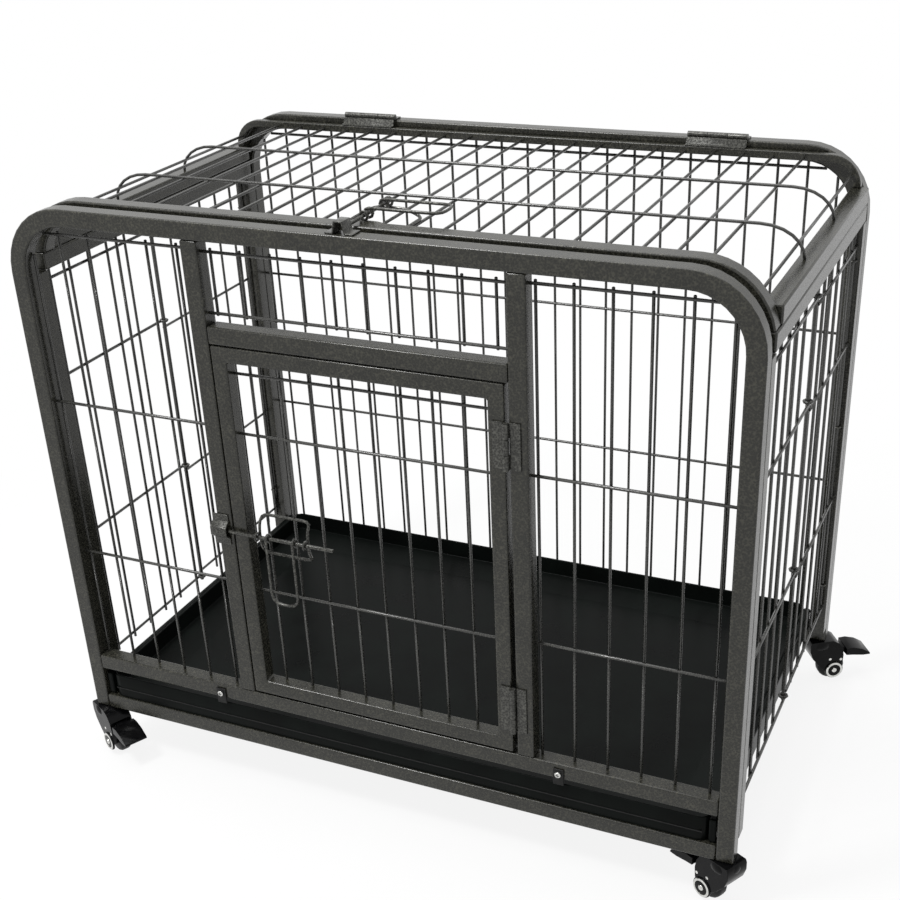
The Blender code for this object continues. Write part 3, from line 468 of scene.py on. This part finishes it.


# The tray has a thin rib across its front in the paler clip nylon, a painted highlight line, and
# dark out-turned lips beside the frame's legs that fill the gaps there with painted shade
tray = {"edgeMm": 1.3, "angle": 5}
# Painted highlight: a paler strip along the tray's front
trayHighlightRib = {"low": (-0.430, -0.2750, 0.1086), "high": (0.430, -0.2735, 0.1100), "edge": 0.0004}
# Painted shade: dark lips in the gaps beside the legs
rightShadeLip = {"low": (0.4365, -0.2725, 0.0950), "high": (0.4462, 0.2480, 0.1292), "edge": 0.0025}
leftShadeLip = {
    "low": (-rightShadeLip["high"][0], *rightShadeLip["low"][1:]),
    "high": (-rightShadeLip["low"][0], *rightShadeLip["high"][1:]),
    "edge": rightShadeLip["edge"],
}
roundedCopy("tray", tray["edgeMm"], trayPlastic, segments=3, angle=tray["angle"])
trims = [
    moulding("tray_front_highlight_rib", trayHighlightRib, clipNylon),
    moulding("tray_right_shade_lip", rightShadeLip, trayPlastic),
    moulding("tray_left_shade_lip", leftShadeLip, trayPlastic),
]
for trim in trims:
    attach(trim, "tray")
print("tray made")


# A turned piece: the profile of (radius, height) points goes round Z, then takes its place
def turned(name, profile, place, material, segments):
    work = bmesh.new()
    verts = [work.verts.new((radius, 0, height)) for radius, height in profile]
    edges = [work.edges.new(pair) for pair in zip(verts, verts[1:])]
    if profile[0][0] > 0 and profile[-1][0] > 0:
        edges.append(work.edges.new((verts[-1], verts[0])))  # a ring's profile is closed
    bmesh.ops.spin(
        work,
        geom=[*verts, *edges],
        cent=(0, 0, 0),
        axis=(0, 0, 1),
        angle=2 * math.pi,
        steps=segments,
        use_merge=True,
    )
    bmesh.ops.remove_doubles(work, verts=work.verts, dist=meshing["spinMerge"])
    bmesh.ops.transform(work, matrix=place, verts=work.verts)
    bmesh.ops.recalc_face_normals(work, faces=work.faces)
    piece = madeFrom(work, name, material)
    piece.data.shade_smooth()
    piece.data.set_sharp_from_angle(angle=math.radians(meshing["spinSharp"]))
    return piece


# Points of a quarter ellipse, from near the rim to near the top
def crown(radius, height, angles):
    return [(radius * math.cos(angle), height * math.sin(angle)) for angle in angles]


# A bright screw with a cross recess holds each clip
clip = {
    "edgeMm": 0.7,
    "face": -0.2817,
    "segments": 28,
    "radius": 0.0042,
    "dome": 0.0013,
    "domeAngles": (0.3, 0.7, 1.1, 1.4),
    "sunk": 0.0004,
    "recessWidth": 0.0008,
    "recessReach": 0.0024,
    "recessDeep": 0.0004,
}


def crossScrew(name, place):
    radius, dome, sunk = clip["radius"], clip["dome"], clip["sunk"]
    profile = [(0, -sunk), (radius, -sunk), (radius, 0)]
    profile += [*crown(radius, dome, clip["domeAngles"]), (0, dome)]
    screw = turned(name, profile, place, nickel, clip["segments"])
    size = (clip["recessReach"] * 2, clip["recessWidth"], clip["recessDeep"])
    work = bmesh.new()
    for turn in (0, 90):
        arm = bmesh.ops.create_cube(work, size=1.0)["verts"]
        bmesh.ops.scale(work, vec=size, verts=arm)
        bmesh.ops.rotate(work, matrix=Matrix.Rotation(math.radians(turn), 3, "Z"), verts=arm)
    bmesh.ops.translate(work, vec=(0, 0, dome), verts=work.verts)
    bmesh.ops.transform(work, matrix=place, verts=work.verts)
    return screw, madeFrom(work, name + "_recess", clipNylon)


for side in ("left", "right"):
    roundedCopy(f"tray_clip_{side}", clip["edgeMm"], clipNylon, segments=3)
for side in ("left", "right"):
    at = Vector(joints[f"tray_clip_{side}_turn"]["pos_m"])
    at.y = clip["face"]
    place = Matrix.Translation(at) @ Matrix.Rotation(math.radians(90), 4, "X")
    for piece in crossScrew(f"tray_clip_{side}_screw", place):
        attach(piece, f"tray_clip_{side}")
print("clips made")

# Casters: rounded hoods, wheels and pedals, a collar under the leg, and on each cheek
# a raised boss with a bright ring, an axle cap and two screws
caster = {
    "hoodMm": 2.6,
    "wheelMm": 1.4,
    "pedalMm": 1.8,
    "segments": 40,
    "cheek": 0.017,  # from the wheel's middle to the hood's cheek
    "ringRadii": (0.0098, 0.0128),
    "ringProud": 0.0007,
    "ringInside": 0.6,
    "bossRadius": 0.0142,
    "bossProud": 0.0022,
    "bossAngles": (0.4, 0.8, 1.2),
    "capRadius": 0.0040,
    "capProud": 0.0022,
    "capAngles": (0.2, 0.6, 1.0, 1.3),
    "capSegments": 24,
    "screwRadius": 0.0022,
    "screwPlaces": ((0.010, 0.017), (-0.007, 0.019)),
    "screwSide": 0.4,
    "screwFlat": 0.7,
    "screwSegments": 16,
    "collarRadius": 0.0195,
    "collarTop": 0.0005,
    "collarDepth": 0.0150,
    "collarFlat": 0.80,
    "collarBulge": 0.20,
    "collarSteps": 8,
}


# Profiles are in the cheek's own terms: radius from the axle and height over the cheek
def bossProfile():
    radius, rise, sunk = caster["bossRadius"], caster["bossProud"], caster["ringProud"]
    edge = [(radius - rise + r, h) for r, h in crown(rise, rise, caster["bossAngles"])]
    return [(0, -sunk), (radius, -sunk), (radius, 0), *edge, (radius - rise, rise), (0, rise)]


def ringProfile():
    low, high = caster["ringRadii"]
    proud = caster["ringProud"]
    inside = [(low, -proud), (low, proud * caster["ringInside"]), (low + proud, proud)]
    return [*inside, (high - proud, proud), (high, 0), (high, -proud)]


def capProfile():
    radius, proud, sunk = caster["capRadius"], caster["capProud"], caster["ringProud"]
    dome = crown(radius, proud, caster["capAngles"])
    return [(0, -sunk), (radius, -sunk), *dome, (0, proud)]


def screwProfile():
    radius, proud = caster["screwRadius"], caster["ringProud"]
    rim = [(radius, -proud), (radius, proud * caster["screwSide"])]
    return [(0, -proud), *rim, (radius * caster["screwFlat"], proud), (0, proud)]


def cheekTrim(corner, centre, across, side, swivel):
    out = Vector(across) * side
    up = Vector((0, 0, 1))
    along = up.cross(out).normalized()
    basis = Matrix((along, up, out)).transposed().to_4x4()
    base = Matrix.Translation(Vector(centre) + out * caster["cheek"]) @ basis
    lifted = base @ Matrix.Translation((0, 0, caster["bossProud"]))
    name = f"caster_{corner}_" + ("outer" if side > 0 else "inner")
    made = [
        turned(name + "_boss", bossProfile(), base, casterNylon, caster["segments"]),
        turned(name + "_ring", ringProfile(), lifted, nickel, caster["segments"]),
        turned(name + "_axle_cap", capProfile(), lifted, nickel, caster["capSegments"]),
    ]
    trail = Vector(centre) - Vector(swivel)
    ahead = 1 if trail.dot(along) > 0 else -1
    for count, (reach, height) in enumerate(caster["screwPlaces"]):
        at = base @ Matrix.Translation((reach * ahead, height, 0))
        screw = f"{name}_screw_{count + 1}"
        made.append(turned(screw, screwProfile(), at, nickel, caster["screwSegments"]))
    for piece in made:
        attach(piece, f"caster_{corner}")


# The bearing's round collar under the leg, bulging past the hood
def collar(corner, swivel):
    radius, half = caster["collarRadius"], caster["collarDepth"] / 2
    flat, bulge = radius * caster["collarFlat"], radius * caster["collarBulge"]
    profile = [(0, 0), (flat, 0)]
    for step in range(1, caster["collarSteps"]):
        angle = math.radians(90 - 180 * step / caster["collarSteps"])
        profile.append((flat + bulge * math.cos(angle), -half + half * math.sin(angle)))
    profile += [(flat, -2 * half), (0, -2 * half)]
    at = Matrix.Translation((swivel[0], swivel[1], swivel[2] - caster["collarTop"]))
    piece = turned(f"caster_{corner}_collar", profile, at, casterNylon, caster["segments"])
    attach(piece, f"caster_{corner}")


for corner in ("front_left", "front_right", "rear_left", "rear_right"):
    name = f"caster_{corner}"
    swivel = joints[f"{name}_swivel"]["pos_m"]
    spin = joints[f"wheel_{corner}_spin"]
    roundedCopy(
        f"{name}_hood", caster["hoodMm"], casterNylon, segments=4, angle=30
    )
    roundedCopy(
        f"{name}_wheel", caster["wheelMm"], treadRubber, segments=2, angle=30
    )
    roundedCopy(
        f"{name}_brake_pedal", caster["pedalMm"], casterNylon, segments=3, angle=30
    )
    collar(corner, swivel)
    level = (swivel[0], swivel[1], spin["pos_m"][2])  # the swivel's axis at the wheel's height
    for side in (-1, 1):
        cheekTrim(corner, spin["pos_m"], spin["axis"], side, level)
print("casters made")

# Floor, world and lamps
studio = {
    "floorHalf": 6.0,
    "floorColour": "#f4f4f4",
    "floorRoughness": 0.9,
    "glowReach": (0.55, 1.3),  # metres from the object's middle
    "glowShare": (0.88, 1.0),  # less white by the object, where its shadow shows
    "worldStrength": 0.34,
    "aim": (0, 0, 0.4),
    "keyWatts": 52,
    "keyPlace": (-0.3, 0.1, 3.0),
    "keySize": 2.6,
    "edgeWatts": 72,
    "edgePlace": (-1.15, -1.45, 3.2),
    "edgeSize": 0.6,
}
plainWhite = (1.0, 1.0, 1.0, 1.0)


# 1 for the rays that meet plain white: from the camera, a reflection or through glass
def directRays(owner):
    path = addNode(owner, "ShaderNodeLightPath")
    seen = addNode(
        owner,
        "ShaderNodeMath",
        {"operation": "MAXIMUM"},
        [(0, path, "Is Camera Ray"), (1, path, "Is Glossy Ray")],
    )
    return addNode(
        owner,
        "ShaderNodeMath",
        {"operation": "MAXIMUM"},
        [(0, seen, "Value"), (1, path, "Is Transmission Ray")],
    )


def setFloor():
    work = bmesh.new()
    bmesh.ops.create_grid(work, x_segments=1, y_segments=1, size=studio["floorHalf"])
    material, shader = newMaterial("white floor")
    shader.inputs["Base Color"].default_value = rgb(studio["floorColour"])
    shader.inputs["Roughness"].default_value = studio["floorRoughness"]
    white = addNode(material, "ShaderNodeEmission", {"Strength": 1.0})
    place = addNode(material, "ShaderNodeTexCoord")
    reach = addNode(
        material, "ShaderNodeVectorMath", {"operation": "LENGTH"}, [("Vector", place, "Object")]
    )
    glow = mapRange(material, reach, "Value", studio["glowReach"], studio["glowShare"])
    share = addNode(
        material,
        "ShaderNodeMath",
        {"operation": "MULTIPLY"},
        [(0, directRays(material), "Value"), (1, glow, "Result")],
    )
    mix = addNode(
        material,
        "ShaderNodeMixShader",
        None,
        [("Fac", share, "Value"), (1, shader, "BSDF"), (2, white, "Emission")],
    )
    join(material, mix, "Shader", material.node_tree.nodes["Material Output"], "Surface")
    floor = madeFrom(work, "floor", material)


def setWorld():
    world = bpy.data.worlds.new("studio")
    world.use_nodes = True
    bpy.context.scene.world = world
    sky = world.node_tree.nodes["Background"]
    sky.inputs["Color"].default_value = plainWhite
    sky.inputs["Strength"].default_value = studio["worldStrength"]
    seen = addNode(world, "ShaderNodeBackground", {"Color": plainWhite, "Strength": 1.0})
    pick = addNode(
        world,
        "ShaderNodeMixShader",
        None,
        [("Fac", directRays(world), "Value"), (1, sky, "Background"), (2, seen, "Background")],
    )
    join(world, pick, "Shader", world.node_tree.nodes["World Output"], "Surface")


def setLamp(name):
    light = bpy.data.lights.new(name, "AREA")
    light.energy = studio[name + "Watts"]
    light.size = studio[name + "Size"]
    lamp = linked(name, light)
    lamp.location = studio[name + "Place"]
    aim = Vector(studio["aim"]) - Vector(studio[name + "Place"])
    lamp.rotation_euler = aim.to_track_quat("-Z", "Y").to_euler()


setCamera()
setFloor()
setWorld()
for name in ("key", "edge"):
    setLamp(name)
bpy.context.scene.view_settings.view_transform = "Standard"
print("studio made")
